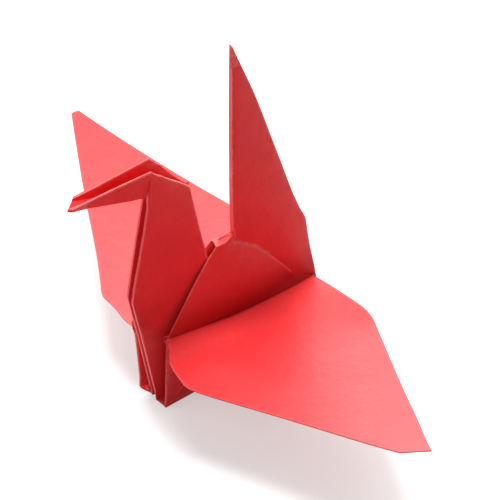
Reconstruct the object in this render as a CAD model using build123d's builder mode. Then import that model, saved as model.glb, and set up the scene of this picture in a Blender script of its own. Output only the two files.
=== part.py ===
from build123d import *
from math import cos, sin, tan, radians
import os

# A crane folded from one square of thin paper, standing on the four corners of its keel.
# Sizes are in millimetres. The head points to -Y, the crane's left wing to +X, and Z is up.
# The origin is on the table, under the middle of the crane.

# the sheet
sheet_side = 75.0          # side of the square that the crane is folded from
paper = 0.065              # thickness of the sheet
air = 0.02                 # air left between two pressed layers
crease_land = 0.25         # strip beside a crease where the layers stay pressed together
tip_land = 2.5             # the same at the pressed tips of the beak and the tail

# the body: four panels that hang from the wing folds and meet at the crotch under the hump
crotch_height = 0.6        # the crotch, where the neck and the tail part, is this far up
spine_spacing = 0.5        # from the spine of the neck to the spine of the tail at the crotch
keel_front = 8.5           # from the crotch forward to the front corners of the keel
keel_rear = 8.9            # from the crotch back to the rear corners of the keel
wing_fold_height = 7.6     # height of the fold that each wing turns out on
wing_fold_half = 8.2       # half the length of that fold
body_half_width = 1.3      # from the middle plane to the wing fold
keel_half_width = 1.6      # from the middle plane to the outside of the body at the keel corners
crotch_clearance = 0.06    # between a leaf and the body panel beside it at the crotch
side_slit = 0.2            # slit in each side of the body, where the two leg edges meet

# the hump
hump_height = 16.0         # top of the hump above the table
hump_top_front = 2.5       # the flattened top of the hump runs from here, before the crotch
hump_top_rear = 0.2        # to here
hump_front_drop = 0.2      # the front end of that top lies this much lower
hump_top_half = 0.24       # half the width of the hump at its top

# the neck and the head
neck_length = 23.3         # along the spine, from the crotch to the head fold
neck_lean = 77.9           # degrees above level that the neck's spine rises
neck_taper = 19.2          # degrees between the neck's spine and its open edge
breast_bend = 13.8         # along the spine, where the open edge bends back to the keel
head_crease = 45.0         # degrees above level of the head fold
beak_blunt = 0.8           # taken off the pressed tip of the beak
leaf_splay = 4.5           # degrees that each leaf of the neck, beak and tail stands out

# the tail
tail_lean = 87.5           # degrees above level that the tail's spine rises
tail_taper = 18.6          # degrees between the tail's spine and its open edge
rump_bend = 14.0           # along the spine, where the open edge bends back to the keel
tail_blunt = 0.5           # taken off the pressed tip of the tail

# the wings
wing_reach = 36.5          # from the table to the tip of a wing, while it still stands up
wing_corner_reach = 14.0   # the same to its widest corners
wing_corner_front = 9.1    # from the middle of the wing to its front corner
wing_corner_rear = 9.9     # from the middle of the wing to its rear corner
front_corner_round = 2.5   # radius of the front corner, where the paper has not kept its point
rear_corner_round = 4.5    # the same for the rear corner, which has curled round more
left_wing_sweep = 1.2      # the tip lies this much behind the middle of the fold
right_wing_sweep = 1.9     # the same for the right wing
left_tip_half = 1.1        # half the width of the blunt tip
right_tip_half = 0.4       # the same for the right wing, which was folded to a finer point
wing_rise = 4.5            # degrees that the chord of a wing rises
wing_bend = 13.0           # degrees that a wing bends up between the fold and the tip
right_wing_drop = 1.1      # the right wing is folded out this much lower than the left one
wing_slit = 0.2            # slit under the wing, where its two side flaps meet

# worked out from the sizes above
leg_length = sheet_side / 2
leaf_depth = 4 * paper + 3 * air
wing_depth = 2 * paper + air
spine_half = leaf_depth + air / 2
crotch_half_width = spine_half + crotch_clearance + leaf_depth
inward = Vector(-1, 0, 0)
upward = Vector(0, 0, 1)


def at(forward, out, up):
    return Vector(out, -forward, up)


def facing(corners, toward):
    """The plane of three corners, with its normal turned the wanted way."""
    normal = (corners[1] - corners[0]).cross(corners[2] - corners[0]).normalized()
    if normal.dot(toward) < 0:
        normal = -normal
    return Plane(origin=corners[0], x_dir=corners[1] - corners[0], z_dir=normal)


def inset(points, margins):
    """Moves each edge of a flat outline inward by its own margin."""
    count = len(points)
    area = sum(points[i].X * points[(i + 1) % count].Y - points[(i + 1) % count].X * points[i].Y
               for i in range(count))
    turn = 1 if area > 0 else -1
    lines = []
    for i, margin in enumerate(margins):
        along = (points[(i + 1) % count] - points[i]).normalized()
        across = Vector(-along.Y, along.X) * turn
        lines.append((points[i] + across * margin, along))
    moved = []
    for i in range(count):
        start, along = lines[i - 1]
        other, beside = lines[i]
        gap = other - start
        reach = (gap.X * beside.Y - gap.Y * beside.X) / (along.X * beside.Y - along.Y * beside.X)
        moved.append(start + along * reach)
    return moved


def slab(corners, toward, start, depth, margins=None):
    """A flat plate under the outline, from start to start + depth below its plane."""
    plane = facing(corners, toward)
    points = [plane.to_local_coords(corner) for corner in corners]
    if margins:
        points = inset(points, margins)
    with BuildPart() as plate:
        with BuildSketch(plane.offset(start)):
            with BuildLine():
                Polyline(*[(point.X, point.Y) for point in points], close=True)
            make_face()
        extrude(amount=depth)
    return plate.part


def folded_leaf(corners, edges):
    """Half a leg, pressed flat: the sheet runs there and back twice, in four layers.

    An outer fold wraps a narrower one, and both turn at the open edge.
    Each edge of the outline is open (the turned folds), spine (where the inner layers end),
    crease (where the leaf goes on into the next one) or tip, and is pressed tight at the last two.
    """
    step = paper + air

    def margins(at_open, at_spine, pressed):
        reach = {"open": at_open, "spine": at_spine,
                 "crease": crease_land * pressed, "tip": tip_land * pressed}
        return [reach[edge] for edge in edges]

    with BuildPart() as leaf:
        add(slab(corners, inward, 0, leaf_depth))
        # hollow it out to the outermost layer and the turned edge
        add(slab(corners, inward, paper, leaf_depth - paper, margins(paper, 0, 1)),
            mode=Mode.SUBTRACT)
        # the innermost layer
        add(slab(corners, inward, leaf_depth - paper, paper, margins(paper / 2, step, 0.5)))
        # the narrower fold between them, with its raw edge at the spine
        add(slab(corners, inward, step, 2 * paper + air, margins(step, step, 0.5)))
        add(slab(corners, inward, step + paper, air, margins(step + paper, 0, 1)),
            mode=Mode.SUBTRACT)
        # it turns into the innermost layer at the spine
        add(slab(corners, inward, 2 * step + paper, air, margins(paper, step, 0.5)))
        add(slab(corners, inward, 2 * step + paper, air, margins(paper, step + paper, 1)),
            mode=Mode.SUBTRACT)
    return leaf.part


class Leg:
    """The side view of one leg, which gives the place of a point by its way along the spine
    and across the leaf. The open edge lies in front of the spine where way is 1."""

    def __init__(self, forward, up, lean, splay, way):
        self.forward = forward
        self.up = up
        self.along = (cos(radians(lean)), sin(radians(lean)))
        self.across = (way * sin(radians(lean)), -way * cos(radians(lean)))
        self.splay = radians(splay)

    def place(self, along, across):
        flat = across * cos(self.splay)
        return at(self.forward + along * self.along[0] + flat * self.across[0],
                  spine_half + across * sin(self.splay),
                  self.up + along * self.along[1] + flat * self.across[1])

    def corner(self, forward, up):
        """The point of the leaf that shows at this place in the side view."""
        gap = (forward - self.forward, up - self.up)
        along = gap[0] * self.along[0] + gap[1] * self.along[1]
        across = gap[0] * self.across[0] + gap[1] * self.across[1]
        return self.place(along, across / cos(self.splay))

    def spine(self, length, start_mitre, end_mitre):
        """The strip of sheet that joins the left leaf to the right one, mitred at a crease."""
        strip_depth = paper / cos(self.splay)
        corners = [self.place(0, 0), self.place(length, 0),
                   self.place(length + end_mitre, strip_depth),
                   self.place(start_mitre, strip_depth)]
        with BuildPart() as strip:
            with BuildSketch(Plane.YZ):
                with BuildLine():
                    Polyline(*[(corner.Y, corner.Z) for corner in corners], close=True)
                make_face()
            extrude(amount=spine_half, both=True)
        return strip.part


def keel_fold(corner, keel_end):
    """The reverse fold at the table: the leaf turns round there into its body panel."""
    begin = side_slit / 2 if keel_end > 0 else -side_slit / 2
    with BuildPart() as fold:
        add(slab([at(begin, air / 2, crotch_height),
                  at(begin, crotch_half_width, crotch_height),
                  at(keel_end, keel_half_width, 0),
                  at(keel_end, corner.X - leaf_depth, 0)], upward, 0, crease_land))
    return fold.part


def body_panels(fold_end, keel_end):
    """One half of a side of the body, from the slit to its end, folded along its diagonal."""
    slit = side_slit / 2 if keel_end > 0 else -side_slit / 2
    top_slit = at(slit, body_half_width, wing_fold_height)
    top_end = at(fold_end, body_half_width, wing_fold_height)
    low_end = at(keel_end, keel_half_width, 0)
    low_slit = at(slit, crotch_half_width, crotch_height)
    with BuildPart() as panels:
        add(folded_leaf([top_slit, top_end, low_end], ["crease", "open", "crease"]))
        add(folded_leaf([top_slit, low_end, low_slit], ["crease", "crease", "spine"]))
    return panels.part


# the neck, up to the fold of the head
neck = Leg(spine_spacing / 2, crotch_height, neck_lean, leaf_splay, 1)
neck_keel = neck.corner(keel_front, 0)
head_turn = radians(neck_lean - head_crease)
neck_slope = tan(radians(neck_taper))
head_fold = ((leg_length - neck_length) * neck_slope
             / (sin(head_turn) + cos(head_turn) * neck_slope))
head_along = head_fold * cos(head_turn)
head_across = head_fold * sin(head_turn)
neck_leaf = folded_leaf(
    [neck.place(0, 0),
     neck.place(neck_length, 0),
     neck.place(neck_length + head_along, head_across),
     neck.place(breast_bend, (leg_length - breast_bend) * neck_slope),
     neck_keel],
    ["spine", "crease", "open", "open", "crease"])
head_mitre = paper / tan(head_turn)
neck_spine = neck.spine(neck_length, 0, head_mitre)

# the beak is the neck's own direction mirrored in the head fold
head_back = neck.place(neck_length, 0)
beak = Leg(-head_back.Y, head_back.Z, 2 * head_crease - neck_lean, leaf_splay, -1)
beak_length = leg_length - neck_length - beak_blunt
beak_leaf = folded_leaf(
    [beak.place(0, 0),
     beak.place(beak_length, 0),
     beak.place(beak_length, beak_blunt * neck_slope),
     beak.place(head_along, head_across)],
    ["spine", "tip", "open", "crease"])
beak_spine = beak.spine(beak_length, head_mitre, 0)

# the tail
tail = Leg(-spine_spacing / 2, crotch_height, tail_lean, leaf_splay, -1)
tail_keel = tail.corner(-keel_rear, 0)
tail_slope = tan(radians(tail_taper))
tail_length = leg_length - tail_blunt
tail_leaf = folded_leaf(
    [tail.place(0, 0),
     tail.place(tail_length, 0),
     tail.place(tail_length, tail_blunt * tail_slope),
     tail.place(rump_bend, (leg_length - rump_bend) * tail_slope),
     tail_keel],
    ["spine", "tip", "open", "open", "crease"])
tail_spine = tail.spine(tail_length, 0, 0)


# the hump: a side panel, the flattened top and the two folds that run in under it
def hump_side(forward, up):
    rise = (up - wing_fold_height) / (hump_height - wing_fold_height)
    return at(forward, body_half_width + rise * (hump_top_half - body_half_width), up)


hump_front = hump_side(hump_top_front, hump_height - hump_front_drop)
hump_rear = hump_side(hump_top_rear, hump_height)
fold_front = hump_side(wing_fold_half, wing_fold_height)
fold_rear = hump_side(-wing_fold_half, wing_fold_height)


def gusset(start, low, high):
    """A sheet that runs in from an edge of the hump to the middle plane, above the crotch."""
    crotch = at(start, 0, crotch_height)
    normal = (low - crotch).cross(high - crotch)
    gap = high - crotch
    # where the sheet reaches the middle plane at the height of the hump
    middle = at(start + normal.Z * gap.Z / normal.Y, 0, high.Z)
    with BuildPart() as sheet:
        add(slab([crotch, low, high, middle], inward, 0, paper))
    return sheet.part


# the panel runs on behind the wing fold, down to the bottom of the pressed strip there
low_front = hump_side(wing_fold_half, wing_fold_height - crease_land)
low_rear = hump_side(-wing_fold_half, wing_fold_height - crease_land)
hump_panel = slab([fold_front, hump_front, hump_rear, fold_rear, low_rear, low_front],
                  inward, 0, paper)
front_gusset = gusset(spine_spacing / 2, fold_front, hump_front)
rear_gusset = gusset(-spine_spacing / 2, fold_rear, hump_rear)
hump_top = slab([Vector(-hump_rear.X, hump_rear.Y, hump_rear.Z), hump_rear,
                 hump_front, Vector(-hump_front.X, hump_front.Y, hump_front.Z)],
                Vector(0, 0, -1), 0, paper)


def wing(drop, sweep, tip_half):
    """The left wing: the sheet on top, its sides folded under to meet in a slit."""
    height = wing_fold_height - drop
    length = wing_reach - height
    first = radians(wing_rise - wing_bend / 2)
    radius = length / radians(wing_bend)
    root = -leaf_depth

    def place(way, depth):
        turn = first + way / radius
        across = radius * (sin(turn) - sin(first)) + depth * sin(turn)
        up = radius * (cos(first) - cos(turn)) - depth * cos(turn)
        return (body_half_width + across, height + up)

    def band(start, end, outline):
        """The part of the curled wing between two depths, under a flat outline."""
        middle = (root + length) / 2
        with BuildPart() as layer:
            with BuildSketch(Plane.XZ):
                with BuildLine():
                    ThreePointArc(place(root, start), place(middle, start),
                                  place(length, start))
                    Line(place(length, start), place(length, end))
                    ThreePointArc(place(length, end), place(middle, end),
                                  place(root, end))
                    Line(place(root, end), place(root, start))
                make_face()
            extrude(amount=wing_corner_front + wing_corner_rear, both=True)
            add(outline)
            extrude(amount=sheet_side, both=True, mode=Mode.INTERSECT)
        return layer.part

    with BuildSketch() as full:
        with BuildLine():
            inside, fold, corner, tip = [
                place(way, 0)[0] for way in (root, 0, wing_corner_reach - height, length)]
            Polyline((inside, -wing_fold_half), (fold, -wing_fold_half),
                     (corner, -wing_corner_front),
                     (tip, sweep - tip_half), (tip, sweep + tip_half),
                     (corner, wing_corner_rear),
                     (fold, wing_fold_half), (inside, wing_fold_half), close=True)
        make_face()
        fillet(full.vertices().group_by(Axis.Y)[-1], rear_corner_round)
        fillet(full.vertices().group_by(Axis.Y)[0], front_corner_round)
    with BuildSketch() as inner:
        add(full.sketch)
        offset(amount=-paper, kind=Kind.INTERSECTION, mode=Mode.REPLACE)
    with BuildSketch() as gap:
        with BuildLine():
            near = place(crease_land, 0)[0]
            far = place(length - tip_land / 2, 0)[0]
            Polyline((near, -wing_slit / 2), (far, sweep - wing_slit / 2),
                     (far, sweep + wing_slit / 2), (near, wing_slit / 2), close=True)
        make_face()

    with BuildPart() as blade:
        add(band(0, wing_depth, full.sketch))
        add(band(paper, paper + air, inner.sketch), mode=Mode.SUBTRACT)
        add(band(paper + air / 2, wing_depth + paper, gap.sketch), mode=Mode.SUBTRACT)
    return blade.part


with BuildPart() as left_half:
    add(neck_leaf)
    add(beak_leaf)
    add(tail_leaf)
    add(body_panels(wing_fold_half, keel_front))
    add(body_panels(-wing_fold_half, -keel_rear))
    add(keel_fold(neck_keel, keel_front))
    add(keel_fold(tail_keel, -keel_rear))
    add(hump_panel)
    add(front_gusset)
    add(rear_gusset)

with BuildPart() as folded:
    add(left_half)
    mirror(about=Plane.YZ)
    add(neck_spine)
    add(beak_spine)
    add(tail_spine)
    add(hump_top)
    add(wing(0, left_wing_sweep, left_tip_half))
    add(mirror(wing(right_wing_drop, right_wing_sweep, right_tip_half),
               about=Plane.YZ, mode=Mode.PRIVATE))
    split(bisect_by=Plane.XY, keep=Keep.TOP)

box = folded.part.bounding_box()
with BuildPart() as paper_crane:
    add(folded.part.moved(Location((-box.center().X, -box.center().Y, -box.min.Z))))

paper_crane.part.label = "paper_crane"
os.makedirs("parts", exist_ok=True)
export_step(paper_crane.part, "parts/paper_crane.step")
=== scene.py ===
import math

import bmesh
import bpy
from mathutils import Matrix, Vector, noise


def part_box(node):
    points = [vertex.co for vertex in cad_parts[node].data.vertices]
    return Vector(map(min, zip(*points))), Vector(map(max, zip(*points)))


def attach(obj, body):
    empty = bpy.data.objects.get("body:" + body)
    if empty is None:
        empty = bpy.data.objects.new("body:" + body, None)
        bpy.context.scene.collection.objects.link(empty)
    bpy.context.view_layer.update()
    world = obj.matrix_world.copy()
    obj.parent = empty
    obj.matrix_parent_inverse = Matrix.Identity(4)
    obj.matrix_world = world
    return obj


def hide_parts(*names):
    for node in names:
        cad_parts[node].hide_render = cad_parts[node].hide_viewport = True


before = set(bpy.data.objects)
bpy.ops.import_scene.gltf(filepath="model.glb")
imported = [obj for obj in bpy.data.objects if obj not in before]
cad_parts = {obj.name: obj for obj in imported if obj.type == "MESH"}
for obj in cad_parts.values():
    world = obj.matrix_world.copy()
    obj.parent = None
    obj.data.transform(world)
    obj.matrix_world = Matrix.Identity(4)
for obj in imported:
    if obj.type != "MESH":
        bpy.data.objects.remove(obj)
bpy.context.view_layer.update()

mm = 0.001
print("crane: packed model loaded")


# a socket that can be used in sums, so shader maths reads like maths
class Signal:
    def __init__(self, paint, socket):
        self.paint = paint
        self.socket = socket

    def maths(self, operation, *values, clamp=False):
        return self.paint.node("ShaderNodeMath", {"operation": operation, "use_clamp": clamp},
                               dict(enumerate(values)))

    def __add__(self, other):
        return self.maths("ADD", self, other)

    def __sub__(self, other):
        return self.maths("SUBTRACT", self, other)

    def __rsub__(self, other):
        return self.maths("SUBTRACT", other, self)

    def __mul__(self, other):
        return self.maths("MULTIPLY", self, other)

    __radd__ = __add__
    __rmul__ = __mul__

    def limited(self):
        return self.maths("ADD", self, 0.0, clamp=True)


# the node tree of one material, or of the world
class Paint:
    def __init__(self, owner):
        self.owner = owner
        self.owner.use_nodes = True
        self.tree = self.owner.node_tree
        self.shader = self.tree.nodes.get("Principled BSDF")

    def node(self, kind, settings=None, values=None, output=0):
        made = self.tree.nodes.new(kind)
        for key, value in (settings or {}).items():
            setattr(made, key, value)
        for key, value in (values or {}).items():
            self.feed(made.inputs[key], value)
        return Signal(self, made.outputs[output])

    def feed(self, socket, value):
        if isinstance(value, Signal):
            self.tree.links.new(value.socket, socket)
        else:
            socket.default_value = value

    def set(self, **values):
        for key, value in values.items():
            self.feed(self.shader.inputs[key.replace("_", " ")], value)

    def noise(self, place, grain):
        return self.node("ShaderNodeTexNoise", {"noise_dimensions": "3D"},
                         {"Vector": place, **grain})

    # a Mix node's colour sockets are its inputs 6 and 7, and its output 2
    def mixColour(self, share, first, second):
        return self.node("ShaderNodeMix", {"data_type": "RGBA"},
                         {0: share, 6: first, 7: second}, output=2)


def selectOnly(thing):
    bpy.ops.object.select_all(action="DESELECT")
    thing.select_set(True)
    bpy.context.view_layer.objects.active = thing


paperLook = {
    "red": (0.85, 0.034, 0.038, 1.0),
    "redDeep": (0.71, 0.024, 0.028, 1.0),
    "hollow": (0.38, 0.005, 0.008, 1.0),    # painted shade: a darker red for the hollows by the hump and the wing root, where shade falls
    "wearAndHighlight": (0.92, 0.20, 0.19, 1.0),        # lighter along folds that stand out: the dye is thin where a fold is rubbed, and a painted highlight where a rounded fold catches the light
    "clouds": {"Scale": 240.0, "Detail": 4.0, "Roughness": 0.6},
    "blots": {"Scale": 60.0, "Detail": 2.0, "Roughness": 0.5},
    "fibres": {"Scale": 2600.0, "Detail": 3.0, "Roughness": 0.7},
    "cloudShade": 1.4,          # how far each of them changes the red
    "blotShade": 0.5,
    "fibreShade": 0.5,
    "hollowShare": 0.9,
    "wearAndHighlightAmount": 0.65,
    "patchContrast": 2.2,       # the wear and painted highlight come in patches
    "patchLevel": 0.75,
    "roughness": 0.30,
    "fibreRoughness": 0.14,
    "cloudRoughness": 0.14,
    "wearRoughness": 0.12,
    "specular": 0.20,
    "cloudHeight": 6.0,         # in the bump, against 1 for the fibres
    "bumpStrength": 0.7,
    "bumpDistance": 0.00003,    # m
}


def makePaper():
    look = paperLook
    paint = Paint(bpy.data.materials.new("redCraftPaper"))
    place = paint.node("ShaderNodeTexCoord", output="Object")
    clouds = paint.noise(place, look["clouds"])
    blots = paint.noise(place, look["blots"])
    fibres = paint.noise(place, look["fibres"])
    wearAndHighlightMask = paint.node("ShaderNodeAttribute", {"attribute_name": "wearAndHighlight"}, output="Fac")
    paintedShadeMask = paint.node("ShaderNodeAttribute", {"attribute_name": "paintedShadeMask"}, output="Fac")
    shade = (clouds - 0.5) * look["cloudShade"] + (blots - 0.5) * look["blotShade"]
    shade = (shade + (fibres - 0.5) * look["fibreShade"] + 0.5).limited()
    colour = paint.mixColour(shade, look["redDeep"], look["red"])
    # painted shade: the hollows are darkened
    paintedShadeAmount = (paintedShadeMask * look["hollowShare"]).limited()
    colour = paint.mixColour(paintedShadeAmount, colour, look["hollow"])
    # the folds are lightened: wear and a painted highlight
    patches = ((clouds + fibres - 1.0) * look["patchContrast"] + look["patchLevel"]).limited()
    wearAndHighlightAmount = (wearAndHighlightMask * patches * look["wearAndHighlightAmount"]).limited()
    colour = paint.mixColour(wearAndHighlightAmount, colour, look["wearAndHighlight"])
    roughness = look["roughness"] + fibres * look["fibreRoughness"]
    roughness = roughness + clouds * look["cloudRoughness"] + wearAndHighlightAmount * look["wearRoughness"]
    bump = paint.node("ShaderNodeBump", None, {
        "Height": fibres + clouds * look["cloudHeight"],
        "Strength": look["bumpStrength"], "Distance": look["bumpDistance"]})
    paint.set(Base_Color=colour, Roughness=roughness.limited(),
              Specular_IOR_Level=look["specular"], Normal=bump)
    return paint.owner


# the sheet: the folded solid itself, copied, cut finer, and then eased as real paper lies;
# all lengths are in mm, and a place on it is told by how far it is out from the middle plane,
# forward from the crotch and up from the table
foldedSheet = {
    "cell": 1.2,                # between the cuts that let it bend
    "rim": 0.28,                # width of the strip beside a fold that takes wear and a painted highlight
    "leastWidth": 1.6,          # in rims, a face narrower than this gets no strip
    "weldStep": 0.001,          # what lies nearer than this is one point
    "faintStep": 0.02,          # a step too low to see
    "headForward": (5.5, 16),   # where such steps are closed
    "joinAngle": 0.5,           # degrees, faces that turn less than this are joined
    "smoothAngle": 4.0,         # degrees, what turns less than this is one flat face
    "sharpAngle": 18.0,         # degrees, what turns more than this is a fold that wears and takes a painted highlight
    "shadeAngle": 28.0,         # degrees, what turns less than this is shaded smooth
    "beakPoint": 16.6,          # forward, past which the beak is too narrow for a strip
    "tailPoint": 35.2,          # up, the same for the tail
    "middle": 0.547,            # the middle plane of the crane, along X
    "crotch": 4.253,            # where the neck and the tail part, along Y
    "crotchHeight": 0.6,
    "foldHeight": 7.6,          # where the wings fold out
    "humpHeight": 16.0,
    "humpFront": (8.2, -5.7),   # forward at the wing fold, and how much more at the top
    "humpRear": (-8.2, 8.4),
    "spineHalf": 0.33,          # out, at the closed fold of a leaf
    "leafDepth": 0.32,          # four layers
    "leafSplay": 0.0785,        # how fast a leaf leaves the middle plane
    "slant": 0.12,              # of the line that parts the neck from the tail
    "wingRoot": 1.3,            # out
    "wingUnder": 4.6,           # up, and nothing of a wing is lower
    "hair": 0.01,
    "diagonal": 0.707,          # of a square, for lengths at 45 degrees
    # the legs in side view: where each starts, how it leans, and on which side of it its leaf is
    "legs": {
        "neck": {"forward": 0.25, "up": 0.6, "lean": 77.9, "way": 1},
        "beak": {"forward": 5.13, "up": 23.38, "lean": 12.1, "way": -1},
        "tail": {"forward": -0.25, "up": 0.6, "lean": 87.5, "way": -1,
                 "width": 7.91, "widest": 14.0, "length": 37.5, "spread": 0.047},
    },
    # the inside of the body, as the distance out of a side and how fast that changes
    "bodyShape": {
        "hump": (1.235, 0.126),
        "upper": (0.98, 0.0395),
        "lower": (0.39, 0.0843),
        "lengthways": (0.1, 0.112),
        "least": 0.36,
    },
    # how far each part lies from the flat fold: out, forward and up
    "ease": {
        "nearLeaf": (-0.62, 0.10, 0.0),     # the near half of the neck leans on the far half
        "nearHead": (0.45, 0.39, -0.25),    # the beak stands open
        "nearHeadLow": (-0.35, 0.0, -0.18),     # its lower edge turns in
        "farHead": (-0.32, -0.35, 0.0),
        "beakTip": (0.0, -0.50, 0.0),       # and its point is worn short
        "beakTipFar": 1.5,                  # that much more on the far side
        "beakBow": (0.0, 0.35, 0.0),        # round in front, like a boat
        "farFold": (-1.80, 0.83, 0.0),      # the front corner of the far side swings out
        "farKeel": (-0.79, 0.36, 0.0),
        "tailTip": (0.20, -0.50, 0.18),
        "tailBelly": (0.0, -0.25, 0.0),
        "tailRump": (0.0, 0.27, 0.0),
        "leafCurl": 0.55,                   # the open edges of the tail curl in
        "curlRoom": 0.8,                    # of the way to the middle plane, at most
        "curlWidth": 2.8,
        "humpBulge": 0.70,
        "humpTop": (0.35, 0.0, -0.25),
        "humpHeel": (-0.35, 1.5, -0.10),    # the rear end of the hump's side, at the wing
        "foldRise": (-0.20, 0.40, 0.90),
        "wingFront": (0.0, 1.05, -0.40),    # the front corner of the near wing droops
        "wingTipFront": (-1.1, 0.68, 0.0),
        "wingTipRear": (0.23, 0.25, 0.0),
        "farWingFront": (0.0, -0.35, 0.0),
        "roundLeaf": 0.08,                  # that a fold of four layers is rounded by
        "roundWing": 0.04,                  # the same for two layers
        "roundSheet": 0.015,                # and for one
        "wave": 0.05,                       # slow waves in the paper
        "waveLength": 7.0,
        "waveSlice": 3.7,
        "tailTipPower": 1.5,                # how late each of these sets in
        "humpBulgePower": 1.5,
        "foldRisePower": 1.5,
        "farFoldPower": 1.5,
        "wingFrontPower": 1.6,
    },
    # where each of these begins and ends on the flat fold, and the middle of those with three
    "spans": {
        "neckAcross": (0, 8.3),
        "neckUp": (14, 23),
        "headAhead": (0, 5.9),
        "beakLowAcross": (0, 3.2),
        "beakLowStart": (7, 12),
        "beakLowEnd": (12, 18.2),
        "beakTip": (9, 18.2),
        "beakBow": (15.5, 18.2),
        "tailTipUp": (18, 37.6),
        "tailBellyUp": (22, 31, 37.5),
        "tailRumpUp": (9, 17, 24),
        "curlUp": (8, 12),
        "curlOut": (0, 0.3),
        "spineAcross": (-1.5, 0),
        "humpTopUp": (11, 16),
        "heelRoom": (0.0, 0.26),
        "heelUp": (7.5, 8.2),
        "heelOut": (0.0, 0.3),
        "foldRiseForward": (1, -8.2),
        "foldRiseStart": (2, 7.4),
        "foldRiseEnd": (7.8, 12),
        "foldRiseOut": (1.5, 9),
        "farForward": (0, 8.2),
        "farOut": (0.4, 6.5),
        "farUp": (7.6, 15.8),
        "keelUp": (6.5, 0),
        "wingFrontForward": (-3, 8.5),
        "wingFrontStart": (0, 3.2),
        "wingFrontEnd": (5.5, 24),
        "wingTipOut": (22, 28.5),
        "wingTipForward": (-2.3, -0.1),
        "farWingForward": (-4, 8.5),
        "farWingOut": (4, 13, 27),
        "freeForward": (8.2, 2.5),
        "waveUp": (0.5, 4),
    },
    # the edges between the leaves, the sides and the wings on the flat fold
    "borders": {
        "beakSeam": -0.15,          # across the beak
        "beakSlack": -0.4,
        "headFoot": 20,             # up
        "humpOut": 0.1,             # out from the wing's root
        "wingOut": 0.15,
        "freeUp": 16.6,             # up, only leaves are higher
        "freeLow": 7.8,
        "freeRise": 8.2,
        "freeAcross": -0.05,
        "freeOut": 1.25,
        "leafGap": 0.02,
        "leafEdge": 0.005,
    },
    # where a fold shows little or none of its wear and painted highlight
    "wearAndHighlightPlaces": {
        "kept": 0.85,                   # in these places this share of the wear and painted highlight is taken off
        "wing": 0.85,                   # and of that, this share on the wings
        "breastStart": (8, 11),         # up
        "breastEnd": (22.5, 23.3),
        "breastAcross": (3, 5),
        "breastFront": 12,              # forward
        "bow": (16.9, 17.6),
        "wingOut": 2.0,
        "spineStart": (15.5, 16),       # up
        "spineEnd": (18, 25),
        "spineRear": -2,
        "heelForward": -5.5,
        "heelUp": (7.4, 9),
        "heelOut": 1.6,
        "flatUp": 7.7,
        "flatOut": 1.4,
        "flatValue": 0.95,              # under this a point is on the flat between its strips
        "tongueUp": 18,                 # the tongue inside the head
        "tongueNeck": (1, 7),
        "tongueBeak": (-4, -0.3),
        "headUp": 20.5,                 # the flat of the head in front of it
        "headForward": (7.8, 12),
        "headBeak": (0.2, 2.4),
    },
    # where painted shade darkens the hollows between the hump and the leaves
    "hollows": {
        "out": 1.5,
        "up": 7.55,
        "skin": 0.12,               # the hump's side is nearer than this to its inside
        "sideRise": (0, 4.5),
        "sideForward": (0, 7),
        "sideFade": 0.4,
        "tailRise": (0, 9),
        "tailForward": -1,
        "tailShare": 0.45,
    },
    # what tells the wings, the hump and the feet from the leaves
    "singleLayers": {"wingOut": 1.6, "humpLow": 0.4, "humpTop": 16.2, "humpSkin": 0.1,
                     "feet": 0.3},
}
legs, bodyShape = foldedSheet["legs"], foldedSheet["bodyShape"]
ease, spans, borders = foldedSheet["ease"], foldedSheet["spans"], foldedSheet["borders"]
wearAndHighlightPlaces, hollows = foldedSheet["wearAndHighlightPlaces"], foldedSheet["hollows"]
singleLayers = foldedSheet["singleLayers"]


def between(value, start, end):
    return min(max((value - start) / (end - start), 0.0), 1.0)


def soft(value, start, end):
    share = between(value, start, end)
    return share * share * (3 - 2 * share)


def hill(value, start, top, end):
    return soft(value, start, top) * (1 - soft(value, top, end))


def within(value, limits):
    return limits[0] < value < limits[1]


# a point as its distances out, forward and up
def inCrane(point):
    return (point.x / mm - foldedSheet["middle"], foldedSheet["crotch"] - point.y / mm,
            point.z / mm)


# the place of a point along the spine of a leg and across its leaf
def inLeg(name, forward, up):
    leg = legs[name]
    lean = math.radians(leg["lean"])
    ahead, above = forward - leg["forward"], up - leg["up"]
    return (ahead * math.cos(lean) + above * math.sin(lean),
            leg["way"] * (ahead * math.sin(lean) - above * math.cos(lean)))


# the neck and the beak are on one side of a slanting line, the tail on the other
def inFront(forward, up):
    return forward > foldedSheet["slant"] * max(up - foldedSheet["crotchHeight"], 0)


def acrossLeaf(forward, up):
    return inLeg("neck" if inFront(forward, up) else "tail", forward, up)[1]


# how far the inside of a body side or of the hump stands from the middle plane
def bodySide(forward, up):
    half, change = bodyShape["hump"]
    if up > foldedSheet["foldHeight"]:
        return half - change * (up - foldedSheet["foldHeight"])
    half, change = bodyShape["upper"]
    upper = half + change * (foldedSheet["foldHeight"] - up)
    half, change = bodyShape["lower"]
    start, lengthChange = bodyShape["lengthways"]
    lower = (half + change * (up - foldedSheet["crotchHeight"])
             + lengthChange * (abs(forward) - start))
    return max(min(upper, lower), bodyShape["least"])


# how far the outside of a leaf stands from the middle plane
def leafSide(forward, up):
    across = acrossLeaf(forward, up)
    if across < 0:
        return foldedSheet["spineHalf"] * between(across, *spans["spineAcross"])
    return foldedSheet["spineHalf"] + foldedSheet["leafSplay"] * across


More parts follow.
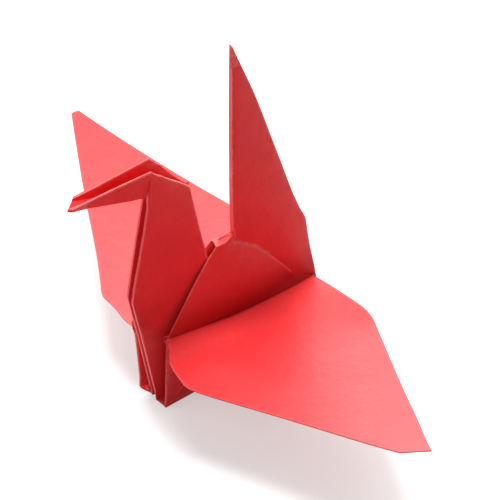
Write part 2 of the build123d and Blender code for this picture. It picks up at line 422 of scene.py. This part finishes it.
def easeNeck(out, forward, up):
    neckAcross = inLeg("neck", forward, up)[1]
    beakAcross = inLeg("beak", forward, up)[1]
    across = min(neckAcross, beakAcross) if beakAcross > borders["beakSeam"] else neckAcross
    inside = max(foldedSheet["spineHalf"] - foldedSheet["leafDepth"]
                 + foldedSheet["leafSplay"] * across, foldedSheet["hair"])
    near = between(out, -inside, inside)
    closed = between(neckAcross, *spans["neckAcross"]) * (1 - between(up, *spans["neckUp"]))
    move = Vector(ease["nearLeaf"]) * near * closed
    ahead = forward - legs["beak"]["forward"] + up - legs["beak"]["up"]
    head = soft(foldedSheet["diagonal"] * ahead, *spans["headAhead"])
    move += (Vector(ease["farHead"]) * (1 - near) + Vector(ease["nearHead"]) * near) * head
    if beakAcross > borders["beakSlack"]:
        low = (1 - between(beakAcross, *spans["beakLowAcross"])) * soft(
            forward, *spans["beakLowStart"]) * (1 - between(forward, *spans["beakLowEnd"]))
        move += Vector(ease["nearHeadLow"]) * near * head * low
    if up > borders["headFoot"]:
        far = ease["beakTipFar"] - (ease["beakTipFar"] - 1) * near
        side = between(abs(out), 0, foldedSheet["spineHalf"])
        move += Vector(ease["beakTip"]) * soft(forward, *spans["beakTip"]) * far
        move += Vector(ease["beakBow"]) * soft(forward, *spans["beakBow"]) * (1 - side)
    return move


def easeTail(out, forward, up):
    along, across = inLeg("tail", forward, up)
    leg = legs["tail"]
    if along > leg["widest"]:
        width = leg["width"] * between(along, leg["length"], leg["widest"])
    else:
        width = leg["width"] + leg["spread"] * (leg["widest"] - along)
    share = between(across, 0, width + foldedSheet["hair"])
    move = Vector(ease["tailTip"]) * between(up, *spans["tailTipUp"]) ** ease["tailTipPower"]
    move += Vector(ease["tailBelly"]) * share * hill(up, *spans["tailBellyUp"])
    move += Vector(ease["tailRump"]) * share * hill(up, *spans["tailRumpUp"])
    room = ease["curlRoom"] * (foldedSheet["hair"] + foldedSheet["leafSplay"] * max(across, 0))
    edge = between(across, width - ease["curlWidth"], width)
    curl = min(ease["leafCurl"], room) * edge ** 2 * soft(up, *spans["curlUp"])
    move.x -= curl * between(abs(out), *spans["curlOut"]) * (1 if out > 0 else -1)
    return move


def easeSide(out, forward, up):
    move = Vector((0, 0, 0))
    rise = between(up, foldedSheet["foldHeight"], foldedSheet["humpHeight"])
    frontEdge = foldedSheet["humpFront"][0] + foldedSheet["humpFront"][1] * rise
    rearEdge = foldedSheet["humpRear"][0] + foldedSheet["humpRear"][1] * rise
    share = between(forward, rearEdge, frontEdge)
    wide = abs(out) - foldedSheet["wingRoot"]
    if up > foldedSheet["foldHeight"] and wide < borders["humpOut"]:
        bulge = 16 * rise * (1 - rise) ** ease["humpBulgePower"] * share * (1 - share)
        move.x += ease["humpBulge"] * bulge * (1 if out > 0 else -1)    # 16 brings it to about 1
    if out > 0:
        move += Vector(ease["humpTop"]) * rise ** 3 * soft(up, *spans["humpTopUp"])
        room = between(bodySide(forward, up) - leafSide(forward, up), *spans["heelRoom"])
        heel = (1 - share) ** 2 * (1 - rise) * room * soft(up, *spans["heelUp"])
        move += Vector(ease["humpHeel"]) * heel * (1 - soft(wide, *spans["heelOut"]))
        lift = between(forward, *spans["foldRiseForward"]) ** ease["foldRisePower"] * soft(
            up, *spans["foldRiseStart"]) * (1 - soft(up, *spans["foldRiseEnd"]))
        move += Vector(ease["foldRise"]) * lift * (1 - soft(wide, *spans["foldRiseOut"]))
    else:
        swing = between(forward, *spans["farForward"]) ** ease["farFoldPower"] * (
            1 - soft(wide, *spans["farOut"])) * (1 - between(up, *spans["farUp"]))
        low = between(up, *spans["keelUp"])
        move += (Vector(ease["farFold"]) * (1 - low) + Vector(ease["farKeel"]) * low) * swing
    return move


def easeWing(out, forward, up):
    wide = abs(out) - foldedSheet["wingRoot"]
    move = Vector((0, 0, 0))
    if wide < borders["wingOut"] or up < foldedSheet["wingUnder"]:
        return move
    if out > 0:
        front = between(forward, *spans["wingFrontForward"]) ** ease["wingFrontPower"]
        move += Vector(ease["wingFront"]) * front * soft(
            wide, *spans["wingFrontStart"]) * (1 - soft(wide, *spans["wingFrontEnd"]))
        tip = soft(wide, *spans["wingTipOut"])
        lead = between(forward, *spans["wingTipForward"])
        move += (Vector(ease["wingTipFront"]) * lead
                 + Vector(ease["wingTipRear"]) * (1 - lead)) * tip
    else:
        front = between(forward, *spans["farWingForward"])
        move += Vector(ease["farWingFront"]) * front * hill(wide, *spans["farWingOut"])
    return move


# where a point of the flat folded crane comes to lie
def eased(point):
    out, forward, up = inCrane(point)
    leaf = leafSide(forward, up)
    side = max(bodySide(forward, up), leaf + borders["leafGap"])
    freeUp = borders["freeLow"] + borders["freeRise"] * between(forward, *spans["freeForward"])
    free = up > borders["freeUp"] or (
        forward > 0 and up > freeUp and acrossLeaf(forward, up) > borders["freeAcross"])
    share = between(abs(out), leaf + borders["leafEdge"], side - borders["leafEdge"])
    if free and abs(out) < borders["freeOut"]:
        share = 0.0
    easeLeaf = easeNeck if inFront(forward, up) else easeTail
    move = easeLeaf(out, forward, up) * (1 - share) + easeSide(out, forward, up) * share
    move += easeWing(out, forward, up)
    wave = noise.noise(Vector((forward, up + out, ease["waveSlice"])) / ease["waveLength"])
    move += Vector((wave, 0, wave)) * ease["wave"] * between(up, *spans["waveUp"])
    return Vector((out + move.x + foldedSheet["middle"],
                   foldedSheet["crotch"] - forward - move.y, up + move.z)) * mm


selectOnly(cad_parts["paper_crane"])
bpy.ops.object.duplicate()
crane = bpy.context.view_layer.objects.active
crane.name = crane.data.name = "folded_sheet"
for key in list(crane.keys()):
    del crane[key]
crane.parent = None
bpy.ops.object.mode_set(mode="EDIT")
bpy.ops.mesh.select_all(action="SELECT")
bpy.ops.mesh.customdata_custom_splitnormals_clear()
bpy.ops.mesh.remove_doubles(threshold=foldedSheet["weldStep"] * mm)
bpy.ops.mesh.select_mode(type="VERT")
bpy.ops.mesh.select_all(action="DESELECT")
bpy.ops.object.mode_set(mode="OBJECT")
for point in crane.data.vertices:       # faint steps inside the head are closed
    out, forward, up = inCrane(point.co)
    point.select = up > wearAndHighlightPlaces["headUp"] and within(forward, foldedSheet["headForward"])
bpy.ops.object.mode_set(mode="EDIT")
bpy.ops.mesh.remove_doubles(threshold=foldedSheet["faintStep"] * mm)
bpy.ops.mesh.select_all(action="SELECT")
bpy.ops.mesh.dissolve_limited(angle_limit=math.radians(foldedSheet["joinAngle"]), delimit=set())
bpy.ops.mesh.select_mode(type="FACE")
bpy.ops.object.mode_set(mode="OBJECT")
print("crane: sheet copied,", len(crane.data.vertices), "points,",
      len(crane.data.polygons), "faces")

# the points of the beak and the tail are too narrow for a strip, so they are cut off
pointCuts = [((0, foldedSheet["crotch"] - foldedSheet["beakPoint"], 0), (0, 1, 0)),
             ((0, 0, foldedSheet["tailPoint"]), (0, 0, 1))]
bpy.ops.object.mode_set(mode="EDIT")
for place, way in pointCuts:
    bpy.ops.mesh.select_all(action="SELECT")
    bpy.ops.mesh.bisect(plane_co=Vector(place) * mm, plane_no=way)
bpy.ops.object.mode_set(mode="OBJECT")


def isPoint(face):
    return (face.center.y / mm < foldedSheet["crotch"] - foldedSheet["beakPoint"]
            or face.center.z / mm > foldedSheet["tailPoint"])


# whether a flat face has room for a strip round it, by its area and its outline
def isWide(faces):
    mesh = crane.data
    counts = {}
    for face in faces:
        for edge in mesh.polygons[face].edge_keys:
            counts[edge] = counts.get(edge, 0) + 1
    length = sum((mesh.vertices[a].co - mesh.vertices[b].co).length
                 for (a, b), count in counts.items() if count == 1)
    area = sum(mesh.polygons[face].area for face in faces)
    return length > 0 and area / length > foldedSheet["leastWidth"] * foldedSheet["rim"] * mm


# a strip is set in beside every fold, so that the wear and painted highlight can follow it
group = crane.data.attributes.new("flatFace", "INT", "FACE")
group.data.foreach_set("value", [-1 if isPoint(face) else 0 for face in crane.data.polygons])
flatFaces = 0
for start in range(len(crane.data.polygons)):
    if crane.data.attributes["flatFace"].data[start].value:
        continue
    for face in crane.data.polygons:
        face.select = face.index == start
    bpy.ops.object.mode_set(mode="EDIT")
    bpy.ops.mesh.faces_select_linked_flat(sharpness=math.radians(foldedSheet["smoothAngle"]))
    bpy.ops.object.mode_set(mode="OBJECT")
    chosen = [face.index for face in crane.data.polygons if face.select and not isPoint(face)]
    flatFaces += 1
    mark = flatFaces if isWide(chosen) else -1
    for face in chosen:
        crane.data.attributes["flatFace"].data[face].value = mark
print("crane:", flatFaces, "flat faces found")
for number in range(1, flatFaces + 1):
    chosen = [entry.value == number for entry in crane.data.attributes["flatFace"].data]
    if any(chosen):
        crane.data.polygons.foreach_set("select", chosen)
        bpy.ops.object.mode_set(mode="EDIT")
        bpy.ops.mesh.inset(thickness=foldedSheet["rim"] * mm, depth=0, use_boundary=True,
                           use_even_offset=False)
        bpy.ops.object.mode_set(mode="OBJECT")
crane.data.attributes.remove(crane.data.attributes["flatFace"])


# a step too low to see, where one layer just shows through another
def isFaint(edge):
    least = foldedSheet["faintStep"] * mm * edge.calc_length()
    return min(face.calc_area() for face in edge.link_faces) < least


# 1 on the folds that stand out, 0 on those that go in, and as before elsewhere
def foldedOut(start):
    shape = bmesh.new()
    shape.from_mesh(crane.data)
    sharp = math.radians(foldedSheet["sharpAngle"])
    values = []
    for point, before in zip(shape.verts, start):
        turns = [edge.calc_face_angle_signed(0) for edge in point.link_edges if not isFaint(edge)]
        turns = [turn for turn in turns if abs(turn) > sharp]
        values.append(before if not turns else (1.0 if max(turns) > 0 else 0.0))
    shape.free()
    return values


# the folds that stand out take wear and a painted highlight
wearAndHighlight = crane.data.attributes.new("wearAndHighlight", "FLOAT", "POINT")
wearAndHighlight.data.foreach_set("value", foldedOut([0.0] * len(crane.data.vertices)))
low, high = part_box("paper_crane")
bpy.ops.object.mode_set(mode="EDIT")
for axis in range(3):
    steps = int((high[axis] - low[axis]) / mm / foldedSheet["cell"])
    for step in range(1, steps + 1):
        spot = low.copy()
        spot[axis] += step * foldedSheet["cell"] * mm
        way = Vector((0, 0, 0))
        way[axis] = 1
        bpy.ops.mesh.select_all(action="SELECT")
        bpy.ops.mesh.bisect(plane_co=spot, plane_no=way)
bpy.ops.mesh.select_all(action="SELECT")
bpy.ops.mesh.quads_convert_to_tris()
bpy.ops.object.mode_set(mode="OBJECT")
print("crane: cut into", len(crane.data.polygons), "faces")


# how much of a point's wear and painted highlight shows
def wearAndHighlightLeft(point, value):
    out, forward, up = inCrane(point)
    neckAcross = inLeg("neck", forward, up)[1]
    beakAcross = inLeg("beak", forward, up)[1]
    onFlat = (up > wearAndHighlightPlaces["flatUp"] and abs(out) < wearAndHighlightPlaces["flatOut"]
              and value < wearAndHighlightPlaces["flatValue"])
    onTongue = (up > wearAndHighlightPlaces["tongueUp"] and within(neckAcross, wearAndHighlightPlaces["tongueNeck"])
                and within(beakAcross, wearAndHighlightPlaces["tongueBeak"]))
    onHead = (up > wearAndHighlightPlaces["headUp"] and within(forward, wearAndHighlightPlaces["headForward"])
              and within(beakAcross, wearAndHighlightPlaces["headBeak"]))
    if onFlat or onTongue or onHead:
        return 0.0
    breast = soft(up, *wearAndHighlightPlaces["breastStart"]) * (1 - soft(up, *wearAndHighlightPlaces["breastEnd"])) * soft(
        neckAcross, *wearAndHighlightPlaces["breastAcross"]) * (forward < wearAndHighlightPlaces["breastFront"])
    bow = soft(forward, *wearAndHighlightPlaces["bow"])
    wing = wearAndHighlightPlaces["wing"] * (up > foldedSheet["wingUnder"]) * (abs(out) > wearAndHighlightPlaces["wingOut"])
    spine = soft(up, *wearAndHighlightPlaces["spineStart"]) * (1 - soft(up, *wearAndHighlightPlaces["spineEnd"])) * within(
        forward, (wearAndHighlightPlaces["spineRear"], foldedSheet["slant"] * up))
    heel = (forward < wearAndHighlightPlaces["heelForward"]) * within(up, wearAndHighlightPlaces["heelUp"]) * (
        abs(out) < wearAndHighlightPlaces["heelOut"])
    return value * (1 - wearAndHighlightPlaces["kept"] * max(breast, bow, wing, spine, heel))


wearAndHighlight = crane.data.attributes["wearAndHighlight"]
values = foldedOut([entry.value for entry in wearAndHighlight.data])
values = [wearAndHighlightLeft(point.co, value) for point, value in zip(crane.data.vertices, values)]
wearAndHighlight.data.foreach_set("value", values)


# painted shade: how much the colour of a place on the flat fold is darkened, most at the wing
# root and less further up
def paintedShadeAt(point):
    out, forward, up = inCrane(point)
    if abs(out) > hollows["out"] or up < hollows["up"]:
        return 0.0
    rise = up - foldedSheet["foldHeight"]
    if abs(out) > bodySide(forward, up) - hollows["skin"]:
        fade = hollows["sideFade"] * between(forward, *hollows["sideForward"])
        return (1 - soft(rise, *hollows["sideRise"])) * (1 - fade)
    if forward < hollows["tailForward"]:
        return hollows["tailShare"] * (1 - soft(rise, *hollows["tailRise"]))
    return 0.0


# painted shade for the hollows, read by the paper's colour
paintedShadeMask = crane.data.attributes.new("paintedShadeMask", "FLOAT", "POINT")
paintedShadeMask.data.foreach_set("value", [paintedShadeAt(point.co) for point in crane.data.vertices])


# how much a fold at this place is rounded
def roundness(point):
    out, forward, up = inCrane(point)
    if abs(out) > singleLayers["wingOut"] and up > foldedSheet["wingUnder"]:
        return ease["roundWing"]
    humpLow = foldedSheet["foldHeight"] - singleLayers["humpLow"]
    onHump = (within(up, (humpLow, singleLayers["humpTop"]))
              and abs(out) > bodySide(forward, up) - singleLayers["humpSkin"])
    onFeet = up < singleLayers["feet"]
    return ease["roundSheet"] if onHump or onFeet else ease["roundLeaf"]


rounding = [roundness(point.co) * share * mm for point, share in zip(crane.data.vertices, values)]
for point in crane.data.vertices:
    point.co = eased(point.co)
crane.data.update()
ways = [point.normal.copy() for point in crane.data.vertices]
for point, way, depth in zip(crane.data.vertices, ways, rounding):
    point.co -= way * depth
    point.co.z = max(point.co.z, 0)     # nothing goes through the table
selectOnly(crane)
bpy.ops.object.shade_smooth_by_angle(angle=math.radians(foldedSheet["shadeAngle"]))
print("crane: eased")

crane.data.materials.clear()
crane.data.materials.append(makePaper())
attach(crane, "root")
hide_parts("paper_crane")

# the floor: it looks white to the camera, gives no extra light and keeps the object's shadow
floorLook = {"colour": (0.50, 0.50, 0.50, 1.0), "lift": 0.50, "size": 1.6}
bpy.ops.mesh.primitive_plane_add(size=floorLook["size"], location=(0, 0, 0))
floor = bpy.context.active_object
floor.name = "floor"
floorPaint = Paint(bpy.data.materials.new("paleFloor"))
floorPaint.set(Base_Color=floorLook["colour"], Roughness=1.0, Specular_IOR_Level=0.0)
seen = (floorPaint.node("ShaderNodeLightPath", output="Is Camera Ray")
        + floorPaint.node("ShaderNodeLightPath", output="Is Glossy Ray"))
glow = floorPaint.node("ShaderNodeEmission", None,
                       {"Strength": seen.limited() * floorLook["lift"]})
matte = Signal(floorPaint, floorPaint.shader.outputs[0])
both = floorPaint.node("ShaderNodeAddShader", None, {0: matte, 1: glow})
floorPaint.feed(floorPaint.tree.nodes["Material Output"].inputs["Surface"], both)
floor.data.materials.append(floorPaint.owner)

# the light: a pale room, a soft box overhead, one behind that gives the wings their sheen,
# and a weak one from the left
lightSetup = {
    "room": 0.30,
    "roomColour": (1.0, 1.0, 1.0, 1.0),
    "backdrop": (0.8, 0.8, 0.8, 1.0),   # what the camera sees past the floor
    "aim": (0, 0, 0.012),
    "boxes": {
        "top": {"place": (-0.07, 0.045, 0.55), "size": 0.24, "power": 3.7},
        "back": {"place": (-0.385, 0.243, 0.29), "size": 0.46, "power": 4.2},
        "left": {"place": (-0.21, -0.34, 0.24), "size": 0.30, "power": 0.45},
    },
}
room = Paint(bpy.data.worlds.new("paleRoom"))
bpy.context.scene.world = room.owner
sky = room.node("ShaderNodeBackground", None,
                {"Color": lightSetup["roomColour"], "Strength": lightSetup["room"]})
backdrop = Signal(room, room.tree.nodes["Background"].outputs[0])
room.feed(room.tree.nodes["Background"].inputs["Color"], lightSetup["backdrop"])
seen = room.node("ShaderNodeLightPath", output="Is Camera Ray")
both = room.node("ShaderNodeMixShader", None, {0: seen, 1: sky, 2: backdrop})
room.feed(room.tree.nodes["World Output"].inputs["Surface"], both)
for name, setup in lightSetup["boxes"].items():
    lamp = bpy.data.objects.new(name + "SoftBox", bpy.data.lights.new(name + "SoftBox", "AREA"))
    lamp.data.shape = "SQUARE"
    lamp.data.size = setup["size"]
    lamp.data.energy = setup["power"]
    lamp.location = setup["place"]
    aim = Vector(lightSetup["aim"]) - Vector(setup["place"])
    lamp.rotation_euler = aim.to_track_quat("-Z", "Y").to_euler()
    bpy.context.collection.objects.link(lamp)
print("crane: floor and lights placed")

# the camera: a long lens, at the photograph's angle; lengths in mm
cameraSetup = {
    "azimuth": 57.717,
    "elevation": 37.632,
    "roll": 0.35,
    "lens": 1500.0,
    "sensor": 36.0,
    "across": 46.0,             # what the picture shows from side to side
    "target": (0.547, 4.253, 0.0),
    "right": 1.37,              # the picture's middle, from the target
    "up": 10.94,
    "nearest": 10,
    "furthest": 20000,
}
azimuth = math.radians(cameraSetup["azimuth"])
elevation = math.radians(cameraSetup["elevation"])
roll = math.radians(cameraSetup["roll"])
back = Vector((math.sin(azimuth) * math.cos(elevation),
               -math.cos(azimuth) * math.cos(elevation), math.sin(elevation)))
level = Vector((math.cos(azimuth), math.sin(azimuth), 0))
plumb = back.cross(level)
right = level * math.cos(roll) + plumb * math.sin(roll)
above = plumb * math.cos(roll) - level * math.sin(roll)
camera = bpy.data.objects.new("camera", bpy.data.cameras.new("camera"))
bpy.context.collection.objects.link(camera)
camera.data.lens = cameraSetup["lens"]
camera.data.sensor_width = cameraSetup["sensor"]
camera.data.clip_start = cameraSetup["nearest"] * mm
camera.data.clip_end = cameraSetup["furthest"] * mm
aim = Vector(cameraSetup["target"]) + right * cameraSetup["right"] + above * cameraSetup["up"]
distance = cameraSetup["across"] * mm * cameraSetup["lens"] / cameraSetup["sensor"]
turn = Matrix((right, above, back)).transposed().to_4x4()
camera.matrix_world = Matrix.Translation(aim * mm + back * distance) @ turn
bpy.context.scene.camera = camera
bpy.context.scene.view_settings.view_transform = "Standard"
